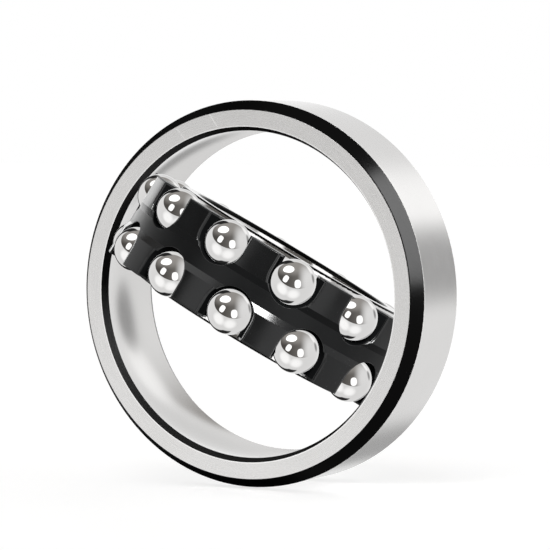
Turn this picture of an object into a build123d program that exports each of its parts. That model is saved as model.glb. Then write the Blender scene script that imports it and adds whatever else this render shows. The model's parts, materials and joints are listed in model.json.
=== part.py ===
from build123d import *
from math import atan, cos, degrees, radians, sin, sqrt
import os

# Self-aligning ball bearing: an outer ring with one spherical raceway, and an inner set of inner
# ring, one-piece cage and two staggered rows of balls, swung out of line with the outer ring.
# The origin is the centre of the spherical raceway. The outer ring's axis lies along Y and its
# front face looks towards -Y. Sizes are in millimetres and angles in degrees.

# Driving dimensions
outer_diameter = 90.0
bore_diameter = 50.0
width = 23.0
ball_diameter = 10.32
balls_per_row = 12
row_offset = 6.5            # from the set's middle plane to each row of ball centres
running_gap = 0.05          # between a ball and each raceway

# Pose of the inner set
swivel_axis_angle = -27.5   # of the swivel axis, from +X in the outer ring's plane
swivel_angle = 75.4         # of the set's axis away from the outer ring's axis

# Outer ring
raceway_radius = 39.2
mouth_radius = 38.9         # where the side face meets the lead-in
lead_in_radial = 0.9        # of the lead-in, from the side face to the raceway's edge
outer_chamfer_radial = 2.1
outer_chamfer_axial = 3.0
edge_round = 0.35

# Inner ring
shoulder_radius = 29.8
groove_ratio = 0.52         # groove radius over ball diameter
bore_round = 1.1
shoulder_round = 0.6

# Cage
cage_inner_radius = 30.3
rib_radius = 36.4           # outside of the wavy rib between the rows
block_radius = 37.0         # outside of the blocks between the balls
cage_half_length = 10.6
block_start = 1.9           # where the rib begins to rise to the blocks, from the middle plane
block_rise = 1.6
cage_round = 0.4
pocket_gap = 0.10           # between a ball and its pocket
lip_radius = 5.08           # of the pocket's mouth, smaller than the ball, which it holds in
lip_reach = 2.7             # from the ball's centre towards the side, where the lip ends
flare_radius = 5.75         # of the flare round the mouth, below the blocks' broken edges
edge_break = 0.25           # of the 45-degree break along the blocks' edges

# Worked out from the values above
half_width = width / 2
outer_radius = outer_diameter / 2
bore_radius = bore_diameter / 2
ball_radius = ball_diameter / 2
groove_radius = groove_ratio * ball_diameter
pocket_radius = ball_radius + pocket_gap
half_pitch = 180 / balls_per_row
ball_distance = raceway_radius - running_gap - ball_radius   # from the origin to a ball's centre
pitch_radius = sqrt(ball_distance**2 - row_offset**2)
contact_angle = degrees(atan(row_offset / pitch_radius))
groove_shift = groove_radius - ball_radius - running_gap     # outward, along the line of contact
swivel_axis = Vector(cos(radians(swivel_axis_angle)), 0, sin(radians(swivel_axis_angle)))
set_axis = Vector(0, 1, 0).rotate(Axis((0, 0, 0), swivel_axis), swivel_angle)
set_plane = Plane(origin=(0, 0, 0), x_dir=swivel_axis, z_dir=set_axis)
set_profile = Plane(origin=(0, 0, 0), x_dir=swivel_axis, z_dir=swivel_axis.cross(set_axis))
set_centreline = Axis((0, 0, 0), set_axis)

os.makedirs("parts", exist_ok=True)

# Outer ring, turned about Y: chamfered outside, with a lead-in and a spherical raceway inside
lead_in_radius = mouth_radius - lead_in_radial
lead_in_height = sqrt(raceway_radius**2 - lead_in_radius**2)
chamfer_radius = outer_radius - outer_chamfer_radial
chamfer_height = half_width - outer_chamfer_axial
with BuildPart() as outer_ring:
    with BuildSketch(Plane.XY) as ring_section:
        with BuildLine():
            Polyline(
                (lead_in_radius, -lead_in_height),
                (mouth_radius, -half_width),
                (chamfer_radius, -half_width),
                (outer_radius, -chamfer_height),
                (outer_radius, chamfer_height),
                (chamfer_radius, half_width),
                (mouth_radius, half_width),
                (lead_in_radius, lead_in_height),
            )
            ThreePointArc(
                (lead_in_radius, lead_in_height),
                (raceway_radius, 0),
                (lead_in_radius, -lead_in_height),
            )
        make_face()
        chamfer_corners = ring_section.vertices().group_by(Axis.X)[-2:]
        fillet(chamfer_corners[0] + chamfer_corners[1], edge_round)
    revolve(axis=Axis.Y)
outer_ring.part.label = "outer_ring"
export_step(outer_ring.part, "parts/outer_ring.step")

# Inner ring, turned about the set's axis: a plain bore and two deep grooves, one for each row
groove_centre_radius = pitch_radius + groove_shift * cos(radians(contact_angle))
groove_centre_height = row_offset + groove_shift * sin(radians(contact_angle))
with BuildPart() as inner_ring:
    with BuildSketch(set_profile) as inner_section:
        with Locations(((bore_radius + shoulder_radius) / 2, 0)):
            Rectangle(shoulder_radius - bore_radius, width)
        fillet(inner_section.vertices().group_by(Axis((0, 0, 0), swivel_axis))[0], bore_round)
        fillet(inner_section.vertices().group_by(Axis((0, 0, 0), swivel_axis))[-1], shoulder_round)
        with Locations(
            (groove_centre_radius, groove_centre_height),
            (groove_centre_radius, -groove_centre_height),
        ):
            Circle(groove_radius, mode=Mode.SUBTRACT)
    revolve(axis=set_centreline)
inner_ring.part.label = "inner_ring"
export_step(inner_ring.part, "parts/inner_ring.step")

# Room for one ball of the upper row, with the set's axis along Z and the ball towards +X: the
# spherical pocket, the flare above its lip, round the ball and straight out to the side, and the
# throat that the ball snaps in by
lip_height = pitch_radius + sqrt(pocket_radius**2 - lip_radius**2)
break_height = sqrt(block_radius**2 - (flare_radius + edge_break) ** 2) - edge_break
flare_slope = (flare_radius - lip_radius) / (break_height - lip_height)
cut_overlap = 0.8           # how far the cuts reach out of the cage, at least
flare_overlap = 0.3         # how far the flare reaches down into the pocket
flare_bottom = lip_height - flare_overlap
flare_bottom_radius = lip_radius - flare_slope * flare_overlap
flare_top = block_radius + cut_overlap
flare_end = row_offset + cage_half_length
throat_half_width = sqrt(pocket_radius**2 - lip_reach**2)
throat_bottom = cage_inner_radius - cut_overlap
with BuildPart() as pocket:
    with Locations((pitch_radius, 0, row_offset)):
        Sphere(pocket_radius, rotation=(0, -90, 0))
    for bottom, top, radius, lean in (
        (flare_bottom, break_height, flare_bottom_radius, degrees(atan(flare_slope))),
        (break_height, flare_top, flare_radius, 45),
    ):
        with BuildSketch(Plane.YZ.offset(bottom)) as flare_section:
            with BuildLine():
                Polyline(
                    (-radius, row_offset),
                    (-radius, flare_end),
                    (radius, flare_end),
                    (radius, row_offset),
                )
                ThreePointArc((radius, row_offset), (0, row_offset - radius), (-radius, row_offset))
            make_face()
        extrude(amount=top - bottom, taper=-lean)
    with BuildSketch(Plane.XY.offset(row_offset + lip_reach)) as throat_section:
        with Locations(((throat_bottom + break_height) / 2, 0)):
            Rectangle(break_height - throat_bottom, 2 * throat_half_width)
    extrude(amount=cage_half_length)

# Cage, moulded in one piece: a wavy rib between the rows, with blocks standing from both its
# sides between the balls
with BuildPart(set_plane) as cage:
    with BuildSketch(set_profile) as cage_section:
        with BuildLine():
            Polyline(
                (cage_inner_radius, -cage_half_length),
                (block_radius, -cage_half_length),
                (block_radius, -block_start - block_rise),
                (rib_radius, -block_start),
                (rib_radius, block_start),
                (block_radius, block_start + block_rise),
                (block_radius, cage_half_length),
                (cage_inner_radius, cage_half_length),
                close=True,
            )
        make_face()
        end_corners = cage_section.vertices().group_by(set_centreline)
        fillet(end_corners[0] + end_corners[-1], cage_round)
    revolve(axis=set_centreline)
    with PolarLocations(0, balls_per_row):
        add(pocket.part, mode=Mode.SUBTRACT)
    with PolarLocations(0, balls_per_row, start_angle=half_pitch):
        add(pocket.part, rotation=(180, 0, 0), mode=Mode.SUBTRACT)
cage.part.label = "cage"
export_step(cage.part, "parts/cage.step")

# Balls: the upper row starts on the swivel axis, and the lower row is half a pitch round from it
for row_name, side in (("upper", 1), ("lower", -1)):
    row_start = 0 if side > 0 else half_pitch
    for number in range(balls_per_row):
        turn = radians(row_start + number * 2 * half_pitch)
        outward = set_plane.x_dir * cos(turn) + set_plane.y_dir * sin(turn)
        ball_centre = outward * pitch_radius + set_axis * (side * row_offset)
        with BuildPart() as ball:
            with Locations(Plane(origin=ball_centre, x_dir=outward, z_dir=set_axis)):
                Sphere(ball_radius)
        ball_name = f"ball_{row_name}_{number + 1:02d}"
        ball.part.label = ball_name
        export_step(ball.part, f"parts/{ball_name}.step")
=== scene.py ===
import json
import math

import bpy
from mathutils import Matrix, Vector

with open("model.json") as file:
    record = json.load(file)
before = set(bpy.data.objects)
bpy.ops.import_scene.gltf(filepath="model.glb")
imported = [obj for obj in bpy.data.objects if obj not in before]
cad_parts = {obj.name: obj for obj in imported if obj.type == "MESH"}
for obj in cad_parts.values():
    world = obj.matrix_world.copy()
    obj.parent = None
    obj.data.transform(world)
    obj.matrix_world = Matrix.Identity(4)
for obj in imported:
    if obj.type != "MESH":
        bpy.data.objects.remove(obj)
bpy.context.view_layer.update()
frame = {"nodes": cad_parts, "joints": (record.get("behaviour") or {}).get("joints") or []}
nodes = frame["nodes"]
MM = 0.001

# Sizes of the bearing that the finishes follow, in millimetres
OUTSIDE_RADIUS = 45.0
CHAMFER_RADIUS = 42.9
MOUTH_RADIUS = 38.9
RACEWAY_RADIUS = 39.2
HALF_WIDTH = 11.5
SEAT_HALF_LENGTH = 8.5
RACEWAY_EDGE = 9.62         # where the raceway meets the lead-in, from the middle plane
BORE_RADIUS = 25.0
BORE_ROUND = 1.1
SHOULDER_RADIUS = 29.8
SHOULDER_ROUND = 0.6
GROOVE_CENTRE_RADIUS = 33.516
GROOVE_CENTRE_HEIGHT = 6.53
RIB_RADIUS = 36.4
BLOCK_RADIUS = 37.0
RIB_HALF_LENGTH = 1.9
BLOCK_START = 3.5
CAGE_HALF_LENGTH = 10.6
CAGE_END_ROUND = 0.44       # the round along the cage's ends, and a little more
EDGE_BREAK = 0.25
POCKET_TOP = 36.70          # radius under which a surface lies in a pocket, beside the blocks
POCKET_TOP_AT_RIB = 36.26
POCKET_MOUTH = 6.0
ROW_OFFSET = 6.5
HALF_PITCH = math.radians(15)

# Looks of the cage's edges: how far a rounded edge reaches in over a block's face, in millimetres,
# and how far its normal leans away from straight out, at the foot and the top of the break
EDGE_SOFTNESS = 0.4
EDGE_FOOT_LEAN = math.radians(85)
EDGE_TOP_LEAN = math.radians(66)

# Looks of the side faces: a painted highlight along the rim at the mouth, and painted glints along
# the two tool marks that show most in the photograph, each from one place in x and z to another,
# with how strongly it shows
RIM_HIGHLIGHT_WIDTH = 0.22
SCRATCH_GLINTS = (
    ((-9.01, 41.61), (-7.03, 38.90), 0.7),
    ((-17.92, 38.35), (-15.78, 35.98), 0.5),
)
GLINT_HALF_WIDTH = 0.14

# Looks of the surfaces: how far the grinding marks are drawn out along their way round, and the
# depth of the fine relief on metal and plastic, in millimetres
MARK_STRETCH = 50.0
GRAIN_DEPTH = 0.03

# Strength of the studio, for which metal's base reflection comes close to the white background,
# and of the floor's own glow, for which the lit floor is as pale as the background
STUDIO_STRENGTH = 1.25
FLOOR_GLOW = 0.71
FLOOR_HALF_SIZE = 4.0       # in metres

# The camera, as fitted to the photograph, with the centre of the outer ring at the origin
CAMERA_AZIMUTH = math.radians(28.84)
CAMERA_ELEVATION = math.radians(3.14)
CAMERA_DISTANCE = 671.3
CAMERA_LENS = 187.12
CENTRE_RIGHT = -1.71
CENTRE_UP = -4.06

# The camera's own directions, which the studio is laid out in
RIGHT = Vector((math.cos(CAMERA_AZIMUTH), math.sin(CAMERA_AZIMUTH), 0.0))
BACK = Vector((
    math.sin(CAMERA_AZIMUTH) * math.cos(CAMERA_ELEVATION),
    -math.cos(CAMERA_AZIMUTH) * math.cos(CAMERA_ELEVATION),
    math.sin(CAMERA_ELEVATION),
))
UP = BACK.cross(RIGHT)


def from_camera(right, up, back):
    """The world's direction for one that is given as the camera sees it."""
    return (RIGHT * right + UP * up + BACK * back).normalized()


def grey(level, warmth=0.0):
    """A colour close to grey: a little warmer or cooler by a share of its level."""
    return (level * (1 + warmth), level, level * (1 - warmth), 1.0)


class Graph:
    """A short way to write a node tree: each call adds what it needs and gives back an output."""

    def __init__(self, tree):
        self.nodes = tree.nodes
        self.links = tree.links

    def add(self, kind, **settings):
        node = self.nodes.new(kind)
        for name, value in settings.items():
            setattr(node, name, value)
        return node

    def feed(self, socket, value):
        if isinstance(value, bpy.types.NodeSocket):
            self.links.new(value, socket)
        else:
            socket.default_value = value

    def math(self, operation, a, b=0.0, c=0.0):
        node = self.add("ShaderNodeMath", operation=operation)
        for socket, value in zip(node.inputs, (a, b, c)):
            self.feed(socket, value)
        return node.outputs[0]

    def product(self, first, *others):
        for other in others:
            first = self.math("MULTIPLY", first, other)
        return first

    def most(self, first, *others):
        for other in others:
            first = self.math("MAXIMUM", first, other)
        return first

    def inverse(self, value):
        """0 where the value is 1, and 1 where it is 0."""
        return self.math("SUBTRACT", 1.0, value)

    def diagonal(self, a, b):
        return self.math("SQRT", self.math("ADD", self.product(a, a), self.product(b, b)))

    def vector(self, operation, a, b=(0.0, 0.0, 0.0)):
        node = self.add("ShaderNodeVectorMath", operation=operation)
        self.feed(node.inputs[0], a)
        self.feed(node.inputs[1], b)
        return node.outputs["Value" if operation == "DOT_PRODUCT" else "Vector"]

    def dot(self, a, b):
        return self.vector("DOT_PRODUCT", a, b)

    def scaled(self, a, factor):
        node = self.add("ShaderNodeVectorMath", operation="SCALE")
        self.feed(node.inputs["Vector"], a)
        self.feed(node.inputs["Scale"], factor)
        return node.outputs["Vector"]

    def turned_to(self, a, b, angle):
        """Direction a, turned by an angle towards direction b, which is square to it."""
        return self.vector("ADD", self.scaled(a, self.math("COSINE", angle)),
                           self.scaled(b, self.math("SINE", angle)))

    def ramp(self, value, low, high, out_low=0.0, out_high=1.0, smooth=True):
        node = self.add("ShaderNodeMapRange",
                        interpolation_type="SMOOTHSTEP" if smooth else "LINEAR")
        for socket, number in zip(node.inputs, (value, low, high, out_low, out_high)):
            self.feed(socket, number)
        return node.outputs[0]

    def past(self, value, edge, soft):
        """1 past an edge and 0 short of it, in millimetres, fading within soft on both sides.

        The facets of a turned surface lie inside its true radius, so the edges of the masks
        below do too.
        """
        return self.ramp(value, (edge - soft) * MM, (edge + soft) * MM)

    def short_of(self, value, edge, soft):
        return self.ramp(value, (edge - soft) * MM, (edge + soft) * MM, 1.0, 0.0)

    def between(self, value, low, high, soft):
        return self.product(self.past(value, low, soft), self.short_of(value, high, soft))

    def mix(self, factor, a, b):
        """Colour a where the factor is 0, and b where it is 1."""
        node = self.add("ShaderNodeMix", data_type="RGBA")
        self.feed(node.inputs["Factor"], factor)
        self.feed(node.inputs[6], a)
        self.feed(node.inputs[7], b)
        return node.outputs[2]

    def either(self, factor, a, b):
        """Direction a where the factor is 0, and b where it is 1."""
        node = self.add("ShaderNodeMix", data_type="VECTOR")
        self.feed(node.inputs["Factor"], factor)
        self.feed(node.inputs[4], a)
        self.feed(node.inputs[5], b)
        return node.outputs[1]

    def noise(self, vector, scale, detail, roughness):
        node = self.add("ShaderNodeTexNoise")
        self.feed(node.inputs["Vector"], vector)
        self.feed(node.inputs["Scale"], scale)
        self.feed(node.inputs["Detail"], detail)
        self.feed(node.inputs["Roughness"], roughness)
        return node.outputs["Fac"]

    def spread(self, noise, low, high):
        """From low to high, by where a noise lies in its usual range."""
        return self.ramp(noise, 0.3, 0.7, low, high)


class Finish(Graph):
    """A material, with the place and the surface's own normal at each point of its piece."""

    def __init__(self, name):
        self.material = bpy.data.materials.new(name)
        self.material.use_nodes = True
        super().__init__(self.material.node_tree)
        self.shader = self.nodes["Principled BSDF"]
        point = self.add("ShaderNodeTexCoord")
        self.place = point.outputs["Object"]
        self.normal = point.outputs["Normal"]
        self.within_box = point.outputs["Generated"]

    def put(self, socket, value):
        self.feed(self.shader.inputs[socket], value)

    def in_world(self, normal):
        """The world's direction for one that is given in the piece's own axes."""
        node = self.add("ShaderNodeVectorTransform", vector_type="NORMAL",
                        convert_from="OBJECT", convert_to="WORLD")
        self.feed(node.inputs[0], self.vector("NORMALIZE", normal))
        return self.vector("NORMALIZE", node.outputs[0])

    def shape(self, normal, grain, strength):
        """Shade the piece by a normal in its own axes, with a fine relief over it."""
        node = self.add("ShaderNodeBump")
        self.feed(node.inputs["Normal"], self.in_world(normal))
        self.feed(node.inputs["Strength"], strength)
        self.feed(node.inputs["Distance"], GRAIN_DEPTH * MM)
        self.feed(node.inputs["Height"], grain)
        self.put("Normal", node.outputs[0])


class TurnedFinish(Finish):
    """The finish of a piece that is turned about an axis: side is any direction square to it."""

    def __init__(self, name, axis, side):
        super().__init__(name)
        self.axis = axis
        self.height = self.dot(self.place, axis)
        self.depth = self.math("ABSOLUTE", self.height)
        self.half = self.math("SIGN", self.height)
        self.across = self.dot(self.place, side)
        self.third = self.dot(self.place, axis.cross(side))
        self.radius = self.diagonal(self.across, self.third)
        foot = self.scaled(axis, self.height)
        self.outward = self.vector("NORMALIZE", self.vector("SUBTRACT", self.place, foot))

    def steady_normal(self):
        """The surface's own normal, without the slight twist that the facets give it."""
        around = self.vector("NORMALIZE", self.vector("CROSS_PRODUCT", self.place, self.axis))
        twist = self.scaled(around, self.dot(self.normal, around))
        return self.vector("SUBTRACT", self.normal, twist)

    def grinding_marks(self):
        """Fine marks that run round the piece: a noise that is drawn out that way."""
        stretched = self.add("ShaderNodeCombineXYZ")
        self.feed(stretched.inputs["X"], self.product(self.across, 1 / MARK_STRETCH))
        self.feed(stretched.inputs["Y"], self.product(self.third, 1 / MARK_STRETCH))
        self.feed(stretched.inputs["Z"], self.math("ADD", self.height, self.radius))
        return self.noise(stretched.outputs[0], scale=9000.0, detail=3.0, roughness=0.6)

    def scratch_glint(self, start, end, strength):
        """A painted glint along a fine straight tool mark on the front face, whose depth along Y is
        below 0.
        """
        start = Vector((start[0], 0.0, start[1]))
        end = Vector((end[0], 0.0, end[1]))
        ahead = (end - start).normalized()
        aside = ahead.cross(self.axis)
        off = self.math("SUBTRACT", self.dot(self.place, aside), aside.dot(start) * MM)
        along = self.math("SUBTRACT", self.dot(self.place, ahead), ahead.dot(start) * MM)
        return self.product(
            self.short_of(self.math("ABSOLUTE", off), GLINT_HALF_WIDTH, 0.06),
            self.between(along, -0.1, (end - start).length + 0.1, 0.1),
            self.short_of(self.height, 0.0, 1.0),
            strength,
        )


def outer_ring_finish():
    """Ground side faces, polished seat and raceway, and black chamfers and lead-ins."""
    ring = TurnedFinish("outer_ring_finish", Vector((0, 1, 0)), Vector((1, 0, 0)))
    radius, depth = ring.radius, ring.depth

    # Where each surface is: the chamfer with the round between it and the side face, and the
    # lead-in up to its edge, which only its lean tells from the side face's
    chamfer = ring.product(ring.past(depth, SEAT_HALF_LENGTH, 0.02),
                           ring.past(radius, CHAMFER_RADIUS - 0.15, 0.02))
    squareness = ring.math("ABSOLUTE", ring.dot(ring.normal, ring.axis))
    lead_in = ring.product(ring.past(depth, RACEWAY_EDGE - 0.02, 0.02),
                           ring.short_of(radius, MOUTH_RADIUS + 0.55, 0.05),
                           ring.ramp(squareness, 0.90, 0.95, 1.0, 0.0))
    black = ring.most(chamfer, lead_in)
    side_face = ring.product(ring.past(depth, HALF_WIDTH - 0.04, 0.02), ring.inverse(black))
    seat = ring.product(ring.past(radius, OUTSIDE_RADIUS - 0.085, 0.015),
                        ring.short_of(depth, SEAT_HALF_LENGTH - 0.10, 0.02))
    raceway = ring.product(ring.short_of(radius, RACEWAY_RADIUS + 0.125, 0.025),
                           ring.short_of(depth, RACEWAY_EDGE - 0.015, 0.015))

    # Steel with a painted highlight along the rim at the mouth and painted glints along two tool
    # marks, and soot that is blacker on the chamfer
    marks = ring.grinding_marks()
    cloud = ring.noise(ring.place, scale=55.0, detail=3.0, roughness=0.55)
    steel = ring.mix(cloud, grey(0.64, 0.012), grey(0.69, 0.010))
    steel = ring.mix(ring.product(marks, 0.12), steel, grey(0.58, 0.012))
    # Painted highlights: paler steel along the rim at the mouth and along two tool marks on the side
    # face
    rim_highlight = ring.short_of(radius, MOUTH_RADIUS + RIM_HIGHLIGHT_WIDTH, 0.08)
    painted_highlights = ring.most(rim_highlight, *(ring.scratch_glint(*scratch_glint) for scratch_glint in SCRATCH_GLINTS))
    steel = ring.mix(ring.product(painted_highlights, side_face), steel, grey(0.86, 0.008))
    soot = ring.mix(chamfer, grey(0.005), grey(0.0004))
    ring.put("Base Color", ring.mix(black, steel, soot))
    ground = ring.product(ring.spread(marks, 0.24, 0.31), side_face)
    polished = ring.product(ring.spread(marks, 0.17, 0.21), ring.inverse(side_face))
    ring.put("Roughness", ring.math("ADD", ground, polished))
    ring.put("Metallic", ring.inverse(black))
    ring.put("IOR", 1.07)

    # Marks that run round the ring draw reflections out across them
    tangent = ring.add("ShaderNodeTangent", direction_type="RADIAL", axis="Y")
    ring.put("Tangent", tangent.outputs[0])
    ring.put("Anisotropic", 0.15)
    ring.put("Anisotropic Rotation", 0.25)

    # Each surface's true direction
    normal = ring.either(seat, ring.steady_normal(), ring.outward)
    to_centre = ring.vector("NORMALIZE", ring.scaled(ring.place, -1.0))
    normal = ring.either(raceway, normal, to_centre)
    ring.shape(normal, marks, strength=0.015)
    return ring.material


def inner_ring_finish(axis, side):
    """Bright ground steel with fine marks that run round the ring, and black rounds at its edges."""
    ring = TurnedFinish("inner_ring_finish", axis, side)
    radius, depth = ring.radius, ring.depth

    # Where each surface is
    shoulder = ring.past(radius, SHOULDER_RADIUS - 0.03, 0.01)
    bore = ring.short_of(radius, BORE_RADIUS + 0.015, 0.005)
    side_face = ring.past(depth, HALF_WIDTH - 0.015, 0.005)
    groove = ring.product(ring.between(radius, BORE_RADIUS + 1.49, SHOULDER_RADIUS - 0.03, 0.01),
                          ring.short_of(depth, HALF_WIDTH - 0.675, 0.025))
    outer_round = ring.product(
        ring.past(depth, HALF_WIDTH - SHOULDER_ROUND + 0.06, 0.02),
        ring.between(radius, SHOULDER_RADIUS - SHOULDER_ROUND + 0.05, SHOULDER_RADIUS - 0.03, 0.01),
    )
    bore_round = ring.product(
        ring.past(depth, HALF_WIDTH - BORE_ROUND + 0.08, 0.02),
        ring.between(radius, BORE_RADIUS, BORE_RADIUS + BORE_ROUND - 0.08, 0.02),
    )
    black = ring.product(ring.most(outer_round, bore_round), ring.inverse(side_face))

    marks = ring.grinding_marks()
    cloud = ring.noise(ring.place, scale=70.0, detail=3.0, roughness=0.55)
    steel = ring.mix(cloud, grey(0.64, 0.010), grey(0.69, 0.008))
    ring.put("Base Color", ring.mix(black, steel, grey(0.002)))
    ring.put("Metallic", ring.inverse(black))
    ring.put("Roughness", ring.spread(marks, 0.09, 0.16))
    ring.put("IOR", 1.10)

    # Each surface's true direction
    to_side = ring.scaled(axis, ring.half)
    groove_centre = ring.vector("ADD", ring.scaled(ring.outward, GROOVE_CENTRE_RADIUS * MM),
                                ring.scaled(to_side, GROOVE_CENTRE_HEIGHT * MM))
    to_centre = ring.vector("NORMALIZE", ring.vector("SUBTRACT", groove_centre, ring.place))
    normal = ring.either(groove, ring.steady_normal(), to_centre)
    normal = ring.either(shoulder, normal, ring.outward)
    normal = ring.either(bore, normal, ring.scaled(ring.outward, -1.0))
    normal = ring.either(side_face, normal, to_side)
    ring.shape(normal, marks, strength=0.02)
    return ring.material


def ball_finish():
    """Lapped balls, bright as a mirror, with the faintest haze."""
    ball = Finish("ball_finish")
    haze = ball.noise(ball.place, scale=260.0, detail=4.0, roughness=0.6)
    ball.put("Base Color", ball.mix(haze, grey(0.67, 0.010), grey(0.71, 0.008)))
    ball.put("Roughness", ball.ramp(haze, 0.35, 0.75, 0.025, 0.06))
    ball.put("Metallic", 1.0)
    from_centre = ball.vector("SUBTRACT", ball.within_box, (0.5, 0.5, 0.5))
    ball.put("Normal", ball.in_world(from_centre))
    return ball.material


def cage_finish(axis, side):
    """Black moulded plastic, satin, with a fine grain, soft edges and slightly uneven gloss."""
    cage = TurnedFinish("cage_finish", axis, side)
    radius, depth, half, outward = cage.radius, cage.depth, cage.half, cage.outward
    to_side = cage.scaled(axis, half)
    to_middle = cage.scaled(to_side, -1.0)

    # Where each surface is
    outside = cage.past(radius, BLOCK_RADIUS - 0.04, 0.01)
    broken_edge = cage.product(
        cage.past(radius, BLOCK_RADIUS - EDGE_BREAK - 0.005, 0.005),
        cage.between(depth, BLOCK_START + 0.01, CAGE_HALF_LENGTH - CAGE_END_ROUND, 0.01),
    )
    rib = cage.product(cage.past(radius, RIB_RADIUS - 0.055, 0.015),
                       cage.short_of(depth, RIB_HALF_LENGTH + 0.01, 0.01))
    steepness = (BLOCK_RADIUS - RIB_RADIUS) / (BLOCK_START - RIB_HALF_LENGTH)
    cone = cage.math("ADD", cage.product(depth, steepness),
                     (RIB_RADIUS - RIB_HALF_LENGTH * steepness) * MM)
    slope = cage.product(cage.past(cage.math("SUBTRACT", radius, cone), -0.055, 0.015),
                         cage.between(depth, RIB_HALF_LENGTH + 0.01, BLOCK_START - 0.01, 0.01))
    end_face = cage.past(depth, CAGE_HALF_LENGTH - 0.015, 0.005)
    pocket_top = cage.ramp(depth, BLOCK_START * MM, (BLOCK_START + 0.1) * MM,
                           POCKET_TOP_AT_RIB * MM, POCKET_TOP * MM)
    in_pocket = cage.product(
        cage.short_of(cage.math("SUBTRACT", radius, pocket_top), -0.025, 0.015),
        cage.short_of(depth, CAGE_HALF_LENGTH - CAGE_END_ROUND, 0.02),
    )

    # The break along the blocks' edges, shaded as the start of a round
    facing_out = cage.scaled(outward, cage.dot(cage.normal, outward))
    away = cage.vector("NORMALIZE", cage.vector("SUBTRACT", cage.normal, facing_out))
    break_lean = cage.ramp(radius, (BLOCK_RADIUS - EDGE_BREAK) * MM, BLOCK_RADIUS * MM,
                           EDGE_FOOT_LEAN, EDGE_TOP_LEAN, smooth=False)
    normal = cage.either(broken_edge, cage.normal, cage.turned_to(outward, away, break_lean))

    # The rest of that round, on the blocks' faces: how far a point is from the nearest pocket's
    # middle, which is a line from its ball's centre out to the side. The upper row has a ball on
    # the side direction, and the lower row is half a pitch round from it.
    turn = cage.math("ADD", cage.math("ARCTAN2", cage.third, cage.across),
                     cage.math("MULTIPLY_ADD", half, HALF_PITCH / 2, HALF_PITCH / 2))
    turn = cage.math("SUBTRACT", cage.math("FLOORED_MODULO", turn, 2 * HALF_PITCH), HALF_PITCH)
    beside = cage.product(radius, cage.math("SINE", turn))
    below = cage.math("MINIMUM", cage.math("SUBTRACT", depth, ROW_OFFSET * MM), 0.0)
    face_lean = cage.ramp(cage.diagonal(beside, below), POCKET_MOUTH * MM,
                          (POCKET_MOUTH + EDGE_SOFTNESS) * MM, EDGE_TOP_LEAN, 0.0, smooth=False)
    around = cage.vector("CROSS_PRODUCT", axis, outward)
    from_pocket = cage.vector("NORMALIZE", cage.vector("ADD", cage.scaled(around, beside),
                                                       cage.scaled(to_side, below)))
    to_pocket = cage.scaled(from_pocket, -1.0)
    normal = cage.either(outside, normal, cage.turned_to(outward, to_pocket, face_lean))
    near_edge = cage.product(outside, cage.ramp(face_lean, 0.0, 0.3))

    # The other surfaces' true directions
    normal = cage.either(rib, normal, outward)
    normal = cage.either(slope, normal, cage.turned_to(outward, to_middle, math.atan(steepness)))
    normal = cage.either(end_face, normal, to_side)
    grain = cage.noise(cage.place, scale=4200.0, detail=3.0, roughness=0.6)
    cage.shape(normal, grain, strength=0.10)

    # Black, worn smoother along the edges, with painted shade: the reflection is dulled in the
    # pockets, on the rib and on the upper slope, where the photograph has it dark
    patches = cage.noise(cage.place, scale=120.0, detail=3.0, roughness=0.5)
    cage.put("Base Color", cage.mix(patches, grey(0.002, -0.06), grey(0.004, -0.05)))
    cage.put("IOR", 1.35)
    worn = cage.most(broken_edge, near_edge, slope)
    satin = cage.math("SUBTRACT", cage.spread(patches, 0.30, 0.38), cage.product(worn, 0.15))
    cage.put("Roughness", cage.most(satin, cage.product(in_pocket, 0.95)))
    upper_slope = cage.product(slope, cage.most(half, 0.0))
    # Painted shade: the pockets, the rib and the upper slope reflect less, standing in for the shade
    # there
    painted_shade = cage.most(cage.product(rib, 0.5), cage.product(upper_slope, 0.8), in_pocket)
    polish = cage.math("MULTIPLY_ADD", near_edge, 0.5, 0.5)
    cage.put("Specular IOR Level", cage.product(cage.inverse(painted_shade), polish))
    return cage.material


def dress(node, material):
    mesh = nodes[node].data
    mesh.materials.clear()
    mesh.materials.append(material)


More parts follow.
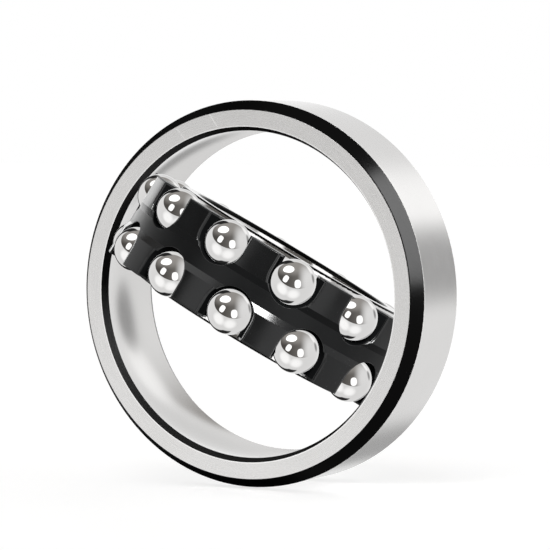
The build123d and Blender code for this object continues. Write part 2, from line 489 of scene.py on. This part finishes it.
def studio_light():
    """The world that metal sees: a pale studio with a dark room, cards and soft boxes in it.

    The camera sees plain white.
    """
    world = bpy.data.worlds.new("studio")
    bpy.context.scene.world = world
    world.use_nodes = True
    world.node_tree.nodes.clear()
    graph = Graph(world.node_tree)
    way = graph.vector("NORMALIZE", graph.add("ShaderNodeTexCoord").outputs["Generated"])
    across = graph.dot(way, RIGHT)
    upward = graph.dot(way, UP)
    toward = graph.dot(way, BACK)

    def card(light, centre, full, gone, brightness, share=1.0):
        """A round card over the light: whole out to one angle in degrees, and gone at another."""
        turn = graph.dot(way, from_camera(*centre))
        cover = graph.ramp(turn, math.cos(math.radians(gone)), math.cos(math.radians(full)))
        return graph.mix(graph.product(cover, share), light, grey(brightness))

    def soft_box(light, centre, half_width, half_height, lean, edge, power, brightness):
        """A rounded rectangle over the light: half sizes as tangents, and lean in degrees.

        power is that of the curve of its corners, and edge is how softly it ends.
        """
        ahead = from_camera(*centre)
        level = UP.cross(ahead).normalized()
        turned = Matrix.Rotation(math.radians(lean), 3, ahead)
        depth = graph.most(graph.dot(way, ahead), 0.001)
        reach = []
        for direction, half_size in ((level, half_width), (ahead.cross(level), half_height)):
            off = graph.math("DIVIDE", graph.dot(way, turned @ direction), depth)
            off = graph.math("ABSOLUTE", graph.math("DIVIDE", off, half_size))
            reach.append(graph.math("POWER", off, power))
        cover = graph.ramp(graph.math("ADD", *reach), 1.0 - edge, 1.0 + edge, 1.0, 0.0)
        return graph.mix(cover, light, grey(brightness))

    # The dark room: above the edge of a pale table, in front of a pale wall, fading to the right
    pale = graph.mix(graph.ramp(upward, -1.0, 1.0), grey(0.76), grey(0.82))
    above_table = graph.ramp(graph.dot(way, from_camera(0.258, 0.796, 0.549)), 0.055, 0.085)
    before_wall = graph.ramp(toward, -0.56, -0.46)
    fade_right = graph.ramp(across, 0.30, 0.95, 1.0, 0.0)
    dark = graph.product(above_table, before_wall, fade_right)
    room = graph.mix(graph.ramp(across, -0.9, 0.5), grey(0.07, 0.08), grey(0.15, 0.06))
    room = graph.mix(graph.ramp(upward, 0.35, 0.95), room, grey(0.31, 0.05))
    light = graph.mix(dark, pale, room)

    # A glow on the table, a card beside the dark room, and four behind the bearing
    light = card(light, (0.0, -0.909, 0.416), full=4, gone=34, brightness=1.15, share=0.8)
    light = card(light, (-0.80, -0.50, 0.33), full=12, gone=34, brightness=1.08,
                 share=graph.inverse(dark))
    light = card(light, (0.25, 0.48, -0.84), full=6, gone=22, brightness=0.70)
    light = card(light, (0.69, 0.45, -0.58), full=4, gone=16, brightness=1.02)
    light = card(light, (0.83, 0.14, -0.54), full=4, gone=15, brightness=0.22, share=0.85)
    light = card(light, (0.25, -0.39, -0.885), full=3, gone=13, brightness=0.22, share=0.8)

    # A black strip behind the bearing, for the dark bands on the ring
    from_strip = graph.math("ABSOLUTE", graph.dot(way, from_camera(-0.94, 0.0, 0.34)))
    strip = graph.product(graph.ramp(from_strip, 0.15, 0.21, 1.0, 0.0),
                          graph.ramp(toward, -0.45, -0.30, 1.0, 0.0))
    light = graph.mix(strip, light, grey(0.02))

    # The highlights on the balls
    light = soft_box(light, (-0.306, 0.903, 0.30), half_width=0.45, half_height=0.34, lean=0,
                     edge=0.20, power=2.2, brightness=1.7)
    light = soft_box(light, (-0.60, 0.262, 0.756), half_width=0.24, half_height=0.30, lean=-30,
                     edge=0.12, power=3.0, brightness=1.3)
    light = soft_box(light, (0.39, -0.176, 0.904), half_width=0.29, half_height=0.38, lean=4,
                     edge=0.15, power=2.6, brightness=1.3)

    studio = graph.add("ShaderNodeBackground")
    graph.feed(studio.inputs["Color"], light)
    graph.feed(studio.inputs["Strength"], STUDIO_STRENGTH)
    white = graph.add("ShaderNodeBackground")
    graph.feed(white.inputs["Color"], grey(1.0))
    choose = graph.add("ShaderNodeMixShader")
    graph.feed(choose.inputs[0], graph.add("ShaderNodeLightPath").outputs["Is Camera Ray"])
    graph.feed(choose.inputs[1], studio.outputs[0])
    graph.feed(choose.inputs[2], white.outputs[0])
    output = graph.add("ShaderNodeOutputWorld")
    graph.feed(output.inputs["Surface"], choose.outputs[0])


def floor():
    """A white floor that the ring stands on, as pale as the background, with a faint shadow."""
    half = FLOOR_HALF_SIZE
    low = -OUTSIDE_RADIUS * MM
    mesh = bpy.data.meshes.new("floor")
    corners = [(-half, -half, low), (half, -half, low), (half, half, low), (-half, half, low)]
    mesh.from_pydata(corners, [], [(0, 1, 2, 3)])
    piece = bpy.data.objects.new("floor", mesh)
    bpy.context.scene.collection.objects.link(piece)
    paper = Finish("floor_paper")
    paper.put("Base Color", grey(0.42))
    paper.put("Roughness", 1.0)
    paper.put("Specular IOR Level", 0.0)
    paper.put("Emission Color", grey(1.0))
    camera_ray = paper.add("ShaderNodeLightPath").outputs["Is Camera Ray"]
    paper.put("Emission Strength", paper.product(camera_ray, FLOOR_GLOW))
    mesh.materials.append(paper.material)
    piece.visible_glossy = False


def lamp_for(node, name, centre, distance, width, length, power):
    """A soft lamp that lights one node of the bearing alone, placed as the camera sees it."""
    data = bpy.data.lights.new(name, "AREA")
    data.shape = "ELLIPSE"
    data.size = width
    data.size_y = length
    data.energy = power
    lamp = bpy.data.objects.new(name, data)
    bpy.context.scene.collection.objects.link(lamp)
    way = from_camera(*centre)
    lamp.location = way * distance
    lamp.rotation_euler = way.to_track_quat("Z", "Y").to_euler()
    lit = bpy.data.collections.new("lit_by_" + name)
    lit.objects.link(nodes[node])
    lamp.light_linking.receiver_collection = lit


def camera():
    data = bpy.data.cameras.new("camera")
    data.sensor_width = 36.0
    data.lens = CAMERA_LENS
    data.clip_start = 0.01
    data.clip_end = 100.0
    piece = bpy.data.objects.new("camera", data)
    bpy.context.scene.collection.objects.link(piece)
    turned = Matrix((RIGHT, UP, BACK)).transposed().to_4x4()
    turned.translation = (BACK * CAMERA_DISTANCE - RIGHT * CENTRE_RIGHT - UP * CENTRE_UP) * MM
    piece.matrix_world = turned
    bpy.context.scene.camera = piece


def joint_axis(name):
    axis = next(joint["axis"] for joint in frame["joints"] if joint["name"] == name)
    return Vector(axis).normalized()


set_axis = joint_axis("inner_ring_spin")
swing_axis = joint_axis("swivel")
dress("outer_ring", outer_ring_finish())
dress("inner_ring", inner_ring_finish(set_axis, swing_axis))
dress("cage", cage_finish(set_axis, swing_axis))
lapped = ball_finish()
for name in nodes:
    if name.startswith("ball_"):
        dress(name, lapped)

# Metal reflects the studio alone, as cleanly as in the photograph, and not its neighbours
for node in nodes.values():
    node.visible_glossy = False

studio_light()
lamp_for("outer_ring", "chamfer_lamp", (0.66, 0.46, 0.56), distance=0.6, width=0.24, length=0.62,
         power=50.0)
lamp_for("cage", "cage_top_lamp", (0.29, 0.53, 0.80), distance=0.5, width=0.19, length=0.19,
         power=7.0)
lamp_for("cage", "cage_left_lamp", (-0.474, 0.324, -0.818), distance=0.5, width=0.30, length=0.30,
         power=0.55)
floor()
camera()
bpy.context.scene.view_settings.view_transform = "Standard"
